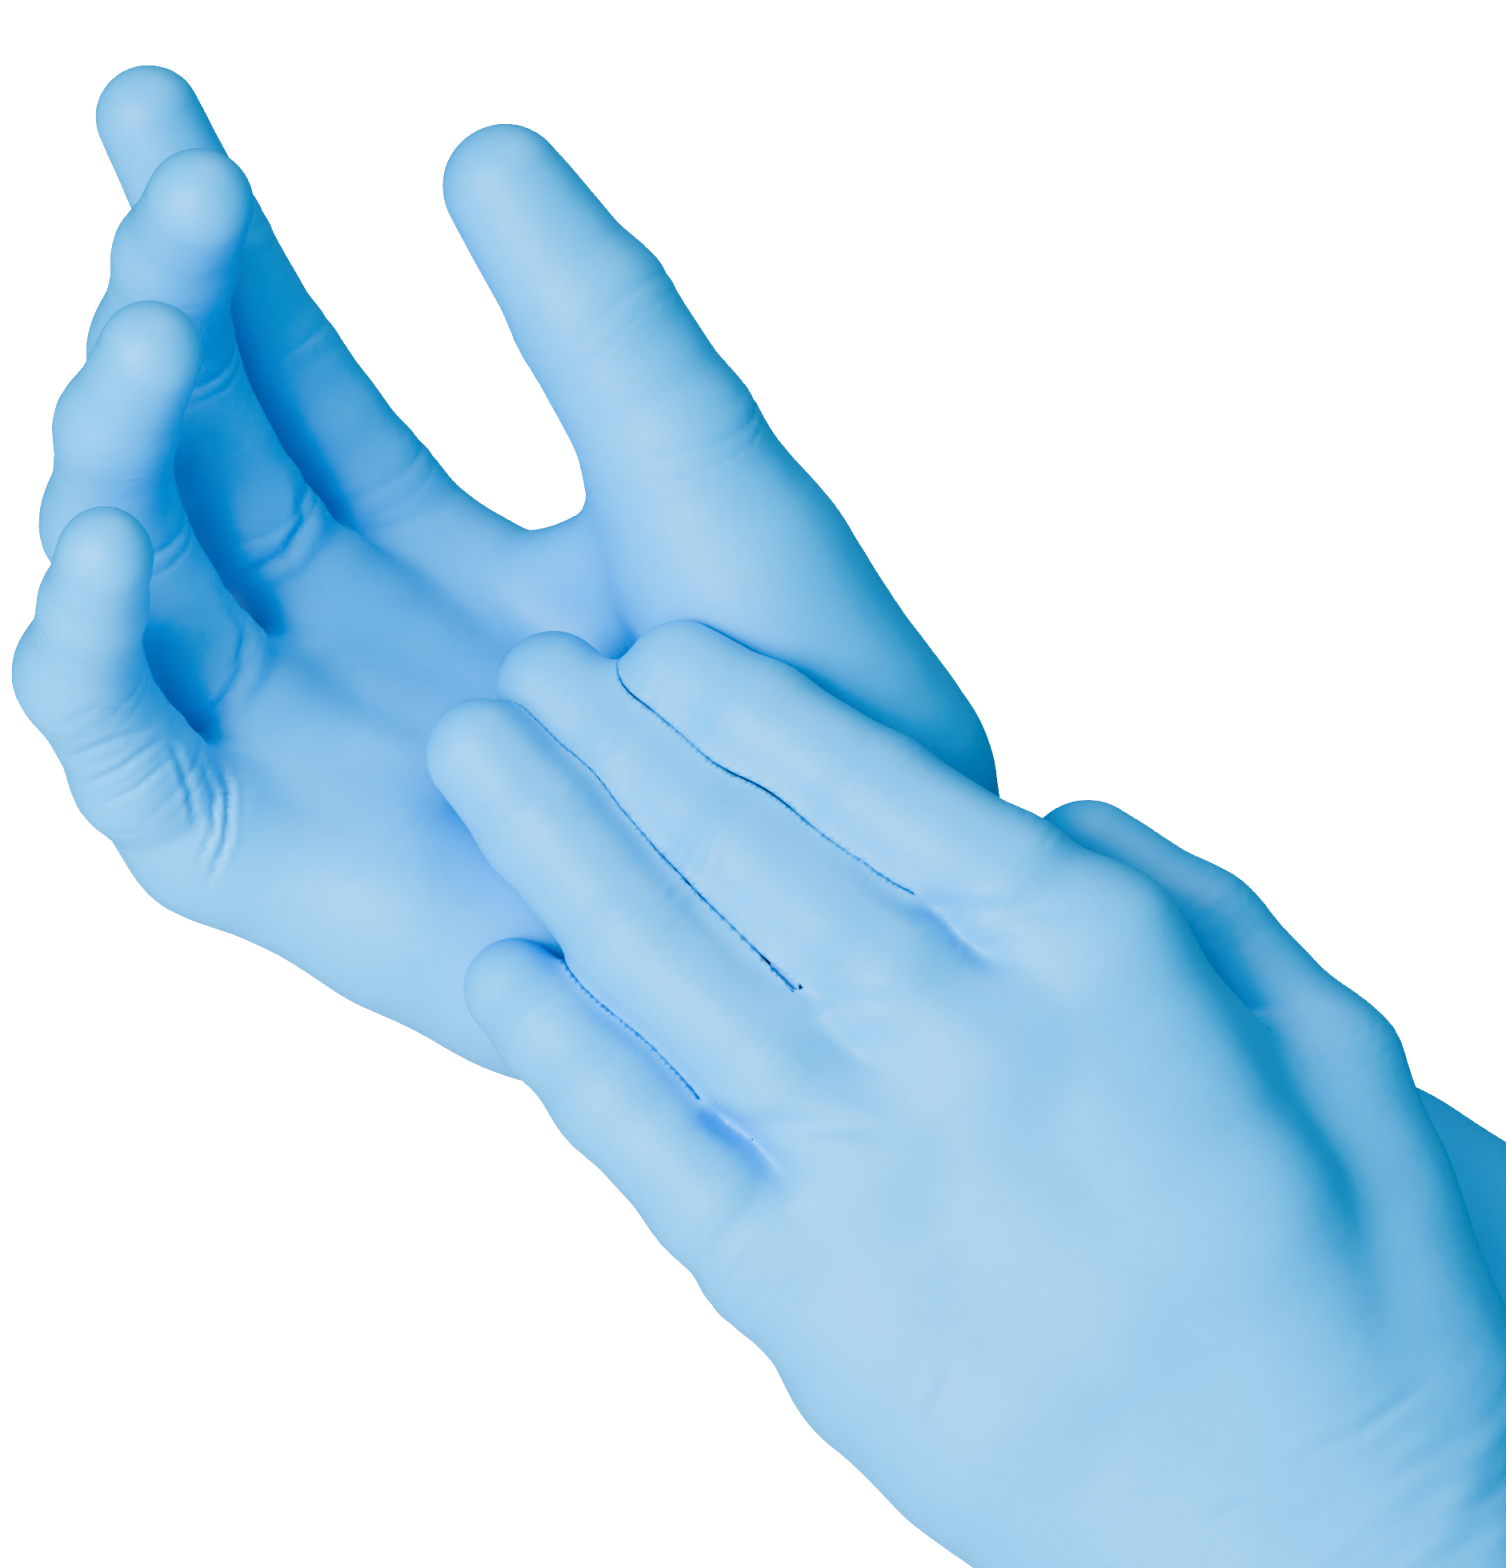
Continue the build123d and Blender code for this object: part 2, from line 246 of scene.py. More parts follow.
        # forearm part of the cuff
        for off in (-1.0, 0.0, 1.0):
            g = smin(rcone(p, W + u * 11 * off, self.M + u * 9.0 * off, 18.0, 21.5),
                     rcone(p, self.M + u * 9.0 * off, self.O + self.arm * 30 + u * 3.0 * off, 21.5, 33.0), 10.0)
            f = smin(f, g, 9.0)
        return f

    NEXT = {"thumb": (), "index": ("middle",), "middle": ("index", "ring"), "ring": ("middle", "little"), "little": ("ring",)}

    def web(self, p, n):
        """How widely the film rounds off into the palm."""
        s = self.past(p, n)
        if n == "thumb":
            return 10.0 - 9.0 * step(s, 0, 18)
        k1 = {"right": 2.0, "left": 5.0}[self.side]
        if self.side == "left" and n == "little":
            k1 = 2.6
        return 6.5 + (k1 - 6.5) * step(s, -9, -1.5)

    def furrow(self, fa, fb, sa, sb):
        """Depth of the soft groove where two neighbouring fingers meet."""
        depth = {"right": 0.4, "left": 1.0}[self.side]
        x = (fa - fb) * 0.5
        along = step(0.5 * (sa + sb), -13.0, -6.0) * (1 - step(np.minimum(sa, sb), 0.0, 4.5))
        return depth * np.exp(-(x / 1.9) ** 2) * along

    def between_roots(self, p, f):
        """The left middle and ring fingers lie together: film fills the dip at their roots."""
        if self.side != "left":
            return f
        a, b = self.J["middle"], self.J["ring"]
        p0, p1, p2 = [(u + v) / 2 for u, v in zip(a[:3], b[:3])]
        dip = smin(rcone(p, p0, p1, 8.0, 6.6), rcone(p, p1, p1 + (p2 - p1) * 0.75, 6.6, 4.6), 3.0)
        return smin(f, dip, 3.5)

    def between(self, n, o):
        """The plane between two neighbouring finger roots."""
        a, b = self.J[n][1], self.J[o][1]
        ra, rb = self.r[n][1], self.r[o][1]
        dm = unit(self.d[n][1] + self.d[o][1])
        w = b - a
        w = unit(w - dm * (w @ dm))
        return (a * rb + b * ra) / (ra + rb), w, dm

    def past(self, p, n):
        return (p - self.J[n][1]) @ self.d[n][1]

    def detail(self, p):
        """Small relief of the film, added outward along the surface."""
        h = 0.10 * noise(p, 19.0) + 0.035 * noise(p, 8.0)
        # the cuff is loose: soft lengthwise folds that open towards the rim
        t = (p - self.W) @ self.arm
        q = p - self.W - np.outer(t, self.arm)
        v = np.cross(self.arm, self.across)
        ang = np.arctan2(q @ v, q @ self.across)
        loose = step(t, 6, 60)
        fold = np.sin(3 * ang + 0.045 * t + 1.1) * 0.9 + np.sin(7 * ang - 0.06 * t + 0.4) * 0.45 + np.sin(12 * ang + 0.11 * t) * 0.16
        h += loose * fold * 0.9
        # gathers round the wrist
        g = np.exp(-((t - 4) / 13.0) ** 2)
        bend = 2.4 * np.sin(2 * ang + 0.7) + 1.2 * np.sin(5 * ang) + 1.2 * noise(p, 46.0)
        h += g * (0.22 * np.sin((t + bend) * 2 * math.pi / 8.5) * (0.6 + 0.4 * noise(p, 19.0)) + 0.08 * np.sin((t * 1.0 - bend) * 2 * math.pi / 4.1))
        # fine wrinkles across the finger joints: faint behind, deeper inside a bend
        n3 = noise(p, 3.6)
        n19 = noise(p, 19.0)
        for n in FINGERS:
            j, d, r = self.J[n], self.d[n], self.r[n]
            ids = (1, 2) if n == "thumb" else (1, 2, 3)
            for i in ids:
                dd = unit(d[i - 1] + d[i])
                q = p - j[i]
                s = q @ dd
                m = np.abs(s) < 11
                m &= np.einsum("ij,ij->i", q, q) < (2.6 * r[i]) ** 2
                if not m.any():
                    continue
                s, qm = s[m], q[m]
                radial = qm - np.outer(s, dd)
                rad = np.linalg.norm(radial, axis=1)
                inside = step((radial @ self.palmar) / np.maximum(rad, 1e-6), 0.0, 0.7)
                fade = step(-rad, -2.0 * r[i], -1.35 * r[i])
                ph = s + 1.3 * n19[m]
                bend = math.acos(min(1.0, float(d[i - 1] @ d[i])))
                a = (0.025 + 0.02 * n3[m]) * np.exp(-(s / 4.5) ** 2) * np.sin(ph * 2 * math.pi / 2.7)
                b = -(0.16 + 0.35 * bend) * inside * (np.exp(-((ph - 0.8) / 0.75) ** 2) + 0.55 * np.exp(-((ph + 1.9) / 0.6) ** 2))
                h[m] += fade * (a + b)
        for f in FOLDS[self.side]:
            h += f(p, self)
        return h

    def finger_field(self, p, n):
        """Film of one finger, running into the palm and parted from its neighbours."""
        raw = {n: self.finger(p, n)}
        s = self.past(p, n)
        near = raw[n] < 12
        g = np.where(near, 99.0, raw[n])
        pm = near & (s < 22)
        if pm.any():
            g[pm] = self.palm(p[pm])
        beside = {"thumb": ("index",), "index": ("thumb",)}.get(n, ())
        group = [o for o in FINGERS if o == n or o in self.NEXT[n] or o in beside]
        for o in group:
            if o not in raw:
                raw[o] = np.full(len(p), 99.0)
                raw[o][near] = self.finger(p[near], o)
            k = self.web(p, o)
            g = np.where(near, smin(g, raw[o], k), g)
        if n in ("middle", "ring"):
            g = np.where(near, self.between_roots(p, g), g)
        for o in self.NEXT[n]:
            so = self.past(p, o)
            g = np.where(near, g + self.furrow(raw[n], raw[o], s, so), g)
        for o in self.NEXT[n]:
            both = np.minimum(s, self.past(p, o))
            # the left fingers' films press on each other, the right ones barely touch
            steep, soft, gap = (0.5, 0.9, 0.03) if self.side == "right" else (1.0, 0.3, -0.12)
            wall = (raw[n] - raw[o]) * steep + gap - 5.0 * (1 - step(both, 1.8, 4.2))
            g = np.where(near, smax(g, wall, soft), g)
        return self.rest_on_other(p, g)

    def hand_field(self, p):
        f = self.palm(p)
        raw = {}
        for n in FINGERS:
            raw[n] = self.finger(p, n)
            f = smin(f, raw[n], self.web(p, n))
        f = self.between_roots(p, f)
        for n, o in zip(FINGERS[1:], FINGERS[2:]):
            f = f + self.furrow(raw[n], raw[o], self.past(p, n), self.past(p, o))
        return self.rest_on_other(p, f)

    def rest_on_other(self, p, f):
        """The left film lies against the right one and is pressed flat there."""
        if self.other is None:
            return f
        m = (f < 5.0) & (p[:, 1] > -62.0)
        if m.any():
            g = self.other.hand_field(p[m])
            f[m] = smax(f[m], 0.45 - g, 1.2)
        return f


def to_px(p):
    k = PX / (p[:, 1] - CAMERA[1])
    return np.stack([941 + (p[:, 0] - CAMERA[0]) * k, 980 - (p[:, 2] - CAMERA[2]) * k], 1)


def fold(points, width, depth, side="front", taper=True, lip=0.35):
    """A crease along a line seen from the front: a groove with a soft lip."""
    pts = [V(*q) for q in points]
    total = sum(np.linalg.norm(b - a) for a, b in zip(pts, pts[1:]))

    def f(p, glove):
        q = to_px(p)
        best = np.full(len(p), 1e9)
        place = np.zeros(len(p))
        run = 0.0
        for a, b in zip(pts, pts[1:]):
            L = np.linalg.norm(b - a)
            d, t = seg_dist(q, a, b)
            m = d < best
            best[m] = d[m]
            place[m] = (run + t[m] * L) / total
            run += L
        x = best / 9.0
        w = np.sin(np.clip(place, 0.02, 0.98) * math.pi) ** 0.6 if taper else 1.0
        mid = (p - glove.W) @ glove.palmar * (1.0 if side == "palmar" else -1.0)
        front = step(-(p[:, 1] - (glove.K[1] + glove.W[1]) / 2), -14, -2)
        g = -depth * np.exp(-(x / width) ** 2) + lip * depth * np.exp(-((x - 2.1 * width) / (1.1 * width)) ** 2)
        return g * w * front
    return f


FOLDS = {
    "right": [
        fold([(560, 985), (500, 1035), (430, 1110)], 0.8, 0.22),
        fold([(378, 600), (384, 650), (362, 690), (320, 716), (282, 728)], 1.0, 0.75),
        fold([(286, 742), (312, 790), (304, 840), (276, 885), (230, 908)], 1.0, 0.75),
        fold([(262, 925), (287, 985), (284, 1050), (258, 1112)], 0.55, 0.40),
        fold([(250, 940), (270, 995), (266, 1040), (245, 1085)], 0.5, 0.30),
        fold([(74, 905), (120, 886), (180, 884)], 0.6, 0.22),
        fold([(84, 948), (140, 925), (196, 905)], 0.55, 0.26),
        fold([(98, 985), (150, 962), (205, 920)], 0.55, 0.30),
        fold([(120, 1010), (172, 985), (222, 940)], 0.5, 0.22),
        fold([(215, 925), (238, 985), (246, 1035)], 0.6, 0.35),
    ],
    "left": [
        fold([(1090, 1105), (1150, 1134), (1240, 1138), (1340, 1132)], 1.5, 0.55),
        fold([(930, 1190), (990, 1236), (1060, 1250), (1150, 1256)], 1.5, 0.50),
        fold([(870, 1385), (930, 1408), (1010, 1408), (1110, 1412)], 1.5, 0.50),
        fold([(880, 1640), (915, 1600), (950, 1560)], 0.9, 0.16),
        fold([(905, 1665), (945, 1625), (975, 1590)], 0.8, 0.12),
        fold([(1195, 1700), (1165, 1770), (1148, 1840)], 1.1, 0.20),
        fold([(1620, 1822), (1700, 1790), (1785, 1728)], 1.0, 0.35),
        fold([(1650, 1880), (1740, 1850), (1830, 1790)], 1.2, 0.30),
        fold([(1500, 1905), (1560, 1880), (1640, 1868)], 1.0, 0.22),
        fold([(1740, 1300), (1765, 1330), (1772, 1400)], 0.9, 0.35),
    ],
}


# ------------------------------------------------------------ surface finder
def surface_nets(field, lo, hi, h):
    """Quads of the zero surface of field in the box, on a grid of pitch h."""
    lo = np.floor(np.array(lo) / h) * h
    n = np.ceil((np.array(hi) - lo) / h).astype(int) + 1
    B = 5
    nb = np.ceil(n / B).astype(int)
    n = nb * B
    bc = np.stack(np.meshgrid(*[np.arange(k) for k in nb], indexing="ij"), -1).reshape(-1, 3)
    centre = lo + (bc * B + (B - 1) / 2) * h
    fc = spread(field, centre)
    reach = h * B * 0.5 * math.sqrt(3) * 1.25 + 1.2
    act = np.abs(fc) < reach
    vals = np.repeat(np.repeat(np.repeat(np.where(fc > 0, 50.0, -50.0).reshape(nb), B, 0), B, 1), B, 2)
    off = np.stack(np.meshgrid(*[np.arange(B)] * 3, indexing="ij"), -1).reshape(-1, 3)
    idx = (bc[act][:, None, :] * B + off[None]).reshape(-1, 3)
    fine = spread(field, lo + idx * h)
    vals[idx[:, 0], idx[:, 1], idx[:, 2]] = fine
    ins = vals < 0
    cell = np.zeros(n - 1, int)
    for dx in (0, 1):
        for dy in (0, 1):
            for dz in (0, 1):
                cell += ins[dx:n[0] - 1 + dx, dy:n[1] - 1 + dy, dz:n[2] - 1 + dz]
    active = (cell > 0) & (cell < 8)
    ids = np.full(n - 1, -1)
    c = np.argwhere(active)
    ids[active] = np.arange(len(c))
    acc = np.zeros((len(c), 3))
    cnt = np.zeros(len(c))
    corners = [(0, 0, 0), (1, 0, 0), (0, 1, 0), (1, 1, 0), (0, 0, 1), (1, 0, 1), (0, 1, 1), (1, 1, 1)]
    for i in range(8):
        for k in range(i + 1, 8):
            a, b = np.array(corners[i]), np.array(corners[k])
            if np.abs(a - b).sum() != 1:
                continue
            va = vals[tuple((c + a).T)]
            vb = vals[tuple((c + b).T)]
            m = (va < 0) != (vb < 0)
            t = va[m] / (va[m] - vb[m])
            acc[m] += a + t[:, None] * (b - a)
            cnt[m] += 1
    verts = lo + (c + acc / cnt[:, None]) * h
    quads = []
    for ax in range(3):
        o1, o2 = [k for k in range(3) if k != ax]
        sl0 = [slice(1, -1)] * 3
        sl1 = [slice(1, -1)] * 3
        sl0[ax] = slice(0, n[ax] - 1)
        sl1[ax] = slice(1, n[ax])
        for_lo = ins[tuple(sl0)]
        for_hi = ins[tuple(sl1)]
        e = np.argwhere(for_lo != for_hi)
        base = e.copy()
        for k in (o1, o2):
            base[:, k] += 1
        flip = for_lo[tuple(e.T)]
        q = []
        for d1, d2 in ((-1, -1), (0, -1), (0, 0), (-1, 0)):
            b = base.copy()
            b[:, o1] += d1
            b[:, o2] += d2
            ok = (b >= 0).all(1) & (b < n - 1).all(1)
            b = np.clip(b, 0, n - 2)
            v = ids[tuple(b.T)]
            v[~ok] = -1
            q.append(v)
        q = np.stack(q, 1)
        good = (q >= 0).all(1)
        q, fl = q[good], flip[good]
        if ax == 1:
            fl = ~fl
        q[~fl] = q[~fl][:, ::-1]
        quads.append(q)
    return verts, np.concatenate(quads)


TETRA = V((1, 1, 1), (1, -1, -1), (-1, 1, -1), (-1, -1, 1))


def gradient(field, p, h=0.2):
    g = np.zeros_like(p)
    for e in TETRA:
        g += spread(field, p + e * h)[:, None] * e
    return g / (4 * h)


def settle(field, v, quads, rounds=2, even=0.6):
    """Even out the points along the surface and put them exactly on it."""
    e = np.concatenate([quads[:, [0, 1]], quads[:, [1, 2]], quads[:, [2, 3]], quads[:, [3, 0]]])
    e = np.concatenate([e, e[:, ::-1]])
    deg = np.bincount(e[:, 0], minlength=len(v)).astype(float)
    deg[deg == 0] = 1
    for it in range(rounds):
        m = np.stack([np.bincount(e[:, 0], weights=v[e[:, 1], a], minlength=len(v)) for a in range(3)], 1) / deg[:, None]
        v = v + even * (m - v)
        g = gradient(field, v, 0.2)
        gg = np.maximum(np.einsum("ij,ij->i", g, g), 0.15)
        v = v - g * np.clip(spread(field, v) / gg, -0.8, 0.8)[:, None]
    return v


# ----------------------------------------------------------- pieces of film
THICK = 0.26     # film thickness, mm


def to_bm(v, faces):
    bm = bmesh.new()
    vs = [bm.verts.new(q) for q in v]
    for f in faces:
        try:
            bm.faces.new([vs[i] for i in f])
        except ValueError:
            pass
    bm.normal_update()
    return bm


def from_bm(bm, keep):
    """Vertices and faces of the kept faces only."""
    ids, v, faces = {}, [], []
    for f in bm.faces:
        if not keep(f):
            continue
        row = []
        for w in f.verts:
            if w not in ids:
                ids[w] = len(v)
                v.append(w.co[:])
            row.append(ids[w])
        faces.append(row)
    return np.array(v, float).reshape(-1, 3), faces


def bisect(bm, co, no, faces=None):
    fs = list(bm.faces) if faces is None else [f for f in faces if f.is_valid]
    es = list({e for f in fs for e in f.edges})
    vs = list({w for f in fs for w in f.verts})
    bmesh.ops.bisect_plane(bm, geom=vs + es + fs, dist=0.02, plane_co=co, plane_no=no)


def centres(bm):
    bm.faces.ensure_lookup_table()
    return np.array([f.calc_center_median()[:] for f in bm.faces])


def film_object(name, v, faces, normals, mat, thick=THICK):
    """A closed thin film: outer skin, inner skin and rims, with smooth normals."""
    n = len(v)
    inner = v - normals * thick
    edge = {}
    for f in faces:
        for a, b in zip(f, f[1:] + f[:1]):
            edge[(a, b)] = edge.get((a, b), 0) + 1
    rims = [(a, b) for (a, b) in edge if (b, a) not in edge]
    allf = [list(f) for f in faces] + [[i + n for i in reversed(f)] for f in faces]
    first_rim = len(allf)
    allf += [[b, a, a + n, b + n] for a, b in rims]
    mesh = bpy.data.meshes.new(name)
    pts = np.concatenate([v, inner]) / 1000.0
    mesh.from_pydata([tuple(q) for q in pts], [], allf)
    mesh.update()
    mesh.shade_smooth()
    nn = np.concatenate([normals, -normals])
    loops = np.zeros((len(mesh.loops), 3))
    vi = np.empty(len(mesh.loops), int)
    mesh.loops.foreach_get("vertex_index", vi)
    loops[:] = nn[vi]
    for p in mesh.polygons[first_rim:]:
        for li in p.loop_indices:
            loops[li] = p.normal[:]
    mesh.normals_split_custom_set([tuple(q) for q in loops])
    obj = bpy.data.objects.new(name, mesh)
    bpy.context.scene.collection.objects.link(obj)
    mesh.materials.append(mat)
    return obj


def tube_object(name, path, radius, mat, frame_dir, turns=18):
    """The rolled bead: a tube whose section is one turn of a roll, with its edge showing."""
    m = len(path)
    rows = []
    for i in range(m):
        t = unit(path[(i + 1) % m] - path[i - 1])
        out = unit(np.cross(t, frame_dir))
        up = np.cross(out, t)
        ring = []
        for k in range(turns):
            a = 2 * math.pi * k / turns
            r = radius * (0.96 + 0.05 * k / turns + 0.03 * math.sin(9 * i * 2 * math.pi / m + 1.3) + 0.02 * math.sin(23 * i * 2 * math.pi / m))
            if k == 0:
                r *= 0.93
            ring.append(path[i] + out * math.cos(a + 2.2) * r + up * math.sin(a + 2.2) * r)
        rows.append(ring)
    v = np.array(rows).reshape(-1, 3) / 1000.0
    faces = []
    for i in range(m):
        j = (i + 1) % m
        for k in range(turns):
            l = (k + 1) % turns
            faces.append((i * turns + k, i * turns + l, j * turns + l, j * turns + k))
    mesh = bpy.data.meshes.new(name)
    mesh.from_pydata([tuple(q) for q in v], [], faces)
    bm = bmesh.new()
    bm.from_mesh(mesh)
    bmesh.ops.recalc_face_normals(bm, faces=bm.faces)
    bm.to_mesh(mesh)
    bm.free()
    mesh.shade_smooth()
    obj = bpy.data.objects.new(name, mesh)
    bpy.context.scene.collection.objects.link(obj)
    mesh.materials.append(mat)
    return obj


def relief(glove, field, v):
    """Raise the fine relief on finished points; gives the points and their normals."""
    g = gradient(field, v, 0.2)
    n = g / np.maximum(np.linalg.norm(g, axis=1), 1e-6)[:, None]
    h = spread(glove.detail, v)
    gh = gradient(glove.detail, v, 0.15)
    gh -= n * np.einsum("ij,ij->i", gh, n)[:, None]
    nn = n - gh
    return v + n * h[:, None], nn / np.linalg.norm(nn, axis=1)[:, None]


# ---------------------------------------------------------------- materials
def film_material(name, base, deep, rough=0.54, folds=1.0):
    m = bpy.data.materials.new(name)
    m.use_nodes = True
    nt = m.node_tree
    N, L = nt.nodes, nt.links
    N.clear()
    out = N.new("ShaderNodeOutputMaterial")
    b = N.new("ShaderNodeBsdfPrincipled")
    L.new(b.outputs["BSDF"], out.inputs["Surface"])
    tc = N.new("ShaderNodeTexCoord")
    # slow change of tone, as where the film is stretched thinner over a joint
    n1 = N.new("ShaderNodeTexNoise")
    n1.inputs["Scale"].default_value = 38.0
    n1.inputs["Detail"].default_value = 3.0
    n1.inputs["Roughness"].default_value = 0.55
    L.new(tc.outputs["Object"], n1.inputs["Vector"])
    r1 = N.new("ShaderNodeValToRGB")
    r1.color_ramp.elements[0].position = 0.30
    r1.color_ramp.elements[0].color = (*deep, 1)
    r1.color_ramp.elements[1].position = 0.70
    r1.color_ramp.elements[1].color = (*base, 1)
    L.new(n1.outputs["Fac"], r1.inputs["Fac"])
    # faint mottling of the dipped film
    n2 = N.new("ShaderNodeTexNoise")
    n2.inputs["Scale"].default_value = 900.0
    n2.inputs["Detail"].default_value = 4.0
    L.new(tc.outputs["Object"], n2.inputs["Vector"])
    hsv = N.new("ShaderNodeHueSaturation")
    mr = N.new("ShaderNodeMapRange")
    mr.inputs["To Min"].default_value = 0.965
    mr.inputs["To Max"].default_value = 1.035
    L.new(n2.outputs["Fac"], mr.inputs["Value"])
    L.new(mr.outputs["Result"], hsv.inputs["Value"])
    L.new(r1.outputs["Color"], hsv.inputs["Color"])
    L.new(hsv.outputs["Color"], b.inputs["Base Color"])
    # satin surface, a little uneven
    mr2 = N.new("ShaderNodeMapRange")
    mr2.inputs["To Min"].default_value = rough - 0.05
    mr2.inputs["To Max"].default_value = rough + 0.07
    L.new(n1.outputs["Fac"], mr2.inputs["Value"])
    L.new(mr2.outputs["Result"], b.inputs["Roughness"])
    b.inputs["IOR"].default_value = 1.50
    b.inputs["Specular IOR Level"].default_value = 0.55
    # relief: fine grain of the former, and faint stretch lines
    w = N.new("ShaderNodeTexNoise")
    w.inputs["Scale"].default_value = 260.0
    w.inputs["Detail"].default_value = 5.0
    w.inputs["Roughness"].default_value = 0.6
    w.inputs["Distortion"].default_value = 0.6
    L.new(tc.outputs["Object"], w.inputs["Vector"])
    bump2 = N.new("ShaderNodeBump")
    bump2.inputs["Strength"].default_value = 0.10 * folds
    bump2.inputs["Distance"].default_value = 0.0006
    L.new(w.outputs["Fac"], bump2.inputs["Height"])
    g = N.new("ShaderNodeTexNoise")
    g.inputs["Scale"].default_value = 2600.0
    g.inputs["Detail"].default_value = 2.0
    L.new(tc.outputs["Object"], g.inputs["Vector"])
    bump = N.new("ShaderNodeBump")
    bump.inputs["Strength"].default_value = 0.12
    bump.inputs["Distance"].default_value = 0.00008
    L.new(g.outputs["Fac"], bump.inputs["Height"])
    L.new(bump2.outputs["Normal"], bump.inputs["Normal"])
    L.new(bump.outputs["Normal"], b.inputs["Normal"])
    return m


FILM = film_material("nitrile_film", (0.052, 0.475, 0.92), (0.044, 0.445, 0.89), rough=0.56)
FOLD = film_material("nitrile_film_fold", (0.051, 0.47, 0.915), (0.043, 0.44, 0.885), rough=0.56, folds=1.2)
BEAD = film_material("nitrile_bead", (0.040, 0.40, 0.84), (0.034, 0.37, 0.80), rough=0.46, folds=0.6)

# ----------------------------------------------------------------- the gloves
import time
T0 = time.time()
right = Glove("right")
left = Glove("left")
left.other = right
PITCH_HAND = 0.95
PITCH_FINGER = 0.68


def check_winding(field, v, quads):
    """Turn every face outward."""
    q = quads[:: max(1, len(quads) // 400)]
    a = np.cross(v[q[:, 1]] - v[q[:, 0]], v[q[:, 2]] - v[q[:, 0]])
    g = gradient(field, v[q].mean(1))
    return quads if (np.einsum("ij,ij->i", a, g) > 0).mean() > 0.5 else quads[:, ::-1]


LIP = 3.0      # how far the palm's film runs on beneath a finger's film, mm
REACH = {n: 4.2 if n == "thumb" else 6.0 for n in FINGERS}    # how far a finger's film reaches into its web, mm
pieces = []
for glove in (right, left):
    side = glove.side
    body = f"{side}_glove"
    pts = np.array([glove.W, glove.M, glove.O] + [j for n in FINGERS for j in glove.J[n][:3]])
    rad = 40.0
    hand = lambda p, g=glove: g.hand_field(p)
    lo = np.minimum.reduce([np.array(glove.J[n][i]) - glove.r[n][i] - 7 for n in FINGERS for i in (0, 1)] + [glove.W - 34, glove.M - 36, glove.O - 42])
    hi = np.maximum.reduce([np.array(glove.J[n][i]) + glove.r[n][i] + 7 for n in FINGERS for i in (0, 1)] + [glove.W + 34, glove.M + 36, glove.O + 42])
    v, q = surface_nets(hand, lo, hi, PITCH_HAND)
    q = check_winding(hand, v, q)
    v = settle(hand, v, q)
    print(side, "hand", len(v), len(q), round(time.time() - T0, 1))
    bm = to_bm(v, q.tolist())
    # leave out what belongs to the fingers
    c = centres(bm)
    F = np.stack([glove.finger(c, n) for n in FINGERS], 1)
    near = F.argmin(1)
    for i, n in enumerate(FINGERS):
        co, no = glove.cut[n][0]
        for shift in (0.0, LIP):
            s = (c - co) @ no - shift
            band = [bm.faces[k] for k in np.nonzero((F[:, i] < REACH[n] + 0.3) & (np.abs(s) < 2.5))[0]]
            bisect(bm, co + no * shift, no, band)
            bm.faces.ensure_lookup_table()
            c = centres(bm)
            F = np.stack([glove.finger(c, m) for m in FINGERS], 1)
    for n, o in zip(FINGERS[1:], FINGERS[2:]):
        mid, w, dm = glove.between(n, o)
        band = [bm.faces[k] for k in np.nonzero((np.abs((c - mid) @ w) < 2.5) & (np.abs((c - mid) @ dm) < 9))[0]]
        bisect(bm, mid, w, band)
        c = centres(bm)
    F = np.stack([glove.finger(c, m) for m in FINGERS], 1)
    near = F.argmin(1)
    drop = np.zeros(len(c), bool)
    for i, n in enumerate(FINGERS):
        co, no = glove.cut[n][0]
        drop |= (near == i) & (F[:, i] < REACH[n]) & ((c - co) @ no > LIP) & ((c - co) @ no < 60)
    if side == "left":
        # a narrow strip of web stays between the middle and ring fingers' roots
        both = np.minimum(glove.past(c, "middle"), glove.past(c, "ring"))
        drop &= ~((np.abs(F[:, 2] - F[:, 3]) < 2.0) & (np.maximum(F[:, 2], F[:, 3]) < 5.0) & (both < 9.0))
    kill = [bm.faces[k] for k in np.nonzero(drop)[0]]
    bmesh.ops.delete(bm, geom=kill, context="FACES")
    bisect(bm, glove.W, glove.wdir)
    odir = unit(glove.O - glove.M)
    bisect(bm, glove.O - odir * 0.2, odir)
    W, wdir, O = glove.W, glove.wdir, glove.O
    for name, test in (("palm_shell", lambda f: (np.array(f.calc_center_median()) - W) @ wdir > 0),
                       ("cuff", lambda f: (np.array(f.calc_center_median()) - W) @ wdir <= 0 and (np.array(f.calc_center_median()) - O + odir * 0.2) @ odir < 0)):
        pv, pf = from_bm(bm, test)
        flat = (pv - O) @ odir
        Fv = np.stack([glove.finger(pv, n) for n in FINGERS], 1)
        under = np.zeros(len(pv))
        for i, n in enumerate(FINGERS):
            co, no = glove.cut[n][0]
            m = (Fv.argmin(1) == i) & (Fv[:, i] < REACH[n])
            under[m] = 0.45 * step(((pv - co) @ no)[m], 0.02, 0.7)
        if side == "left":
            both = np.minimum(glove.past(pv, "middle"), glove.past(pv, "ring"))
            strip = (np.abs(Fv[:, 2] - Fv[:, 3]) < 2.6) & (np.maximum(Fv[:, 2], Fv[:, 3]) < 5.5)
            under[strip] = np.maximum(under[strip], 0.95 * step(both[strip], 2.2, 3.6))
        pv, nn = relief(glove, hand, pv)
        pv = pv - nn * under[:, None]
        ob = film_object(f"{side}_{name}_film", pv, pf, nn, FILM)
        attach(ob, body)
        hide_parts(f"{side}_{name}")
        pieces.append(ob)
        if name == "cuff":
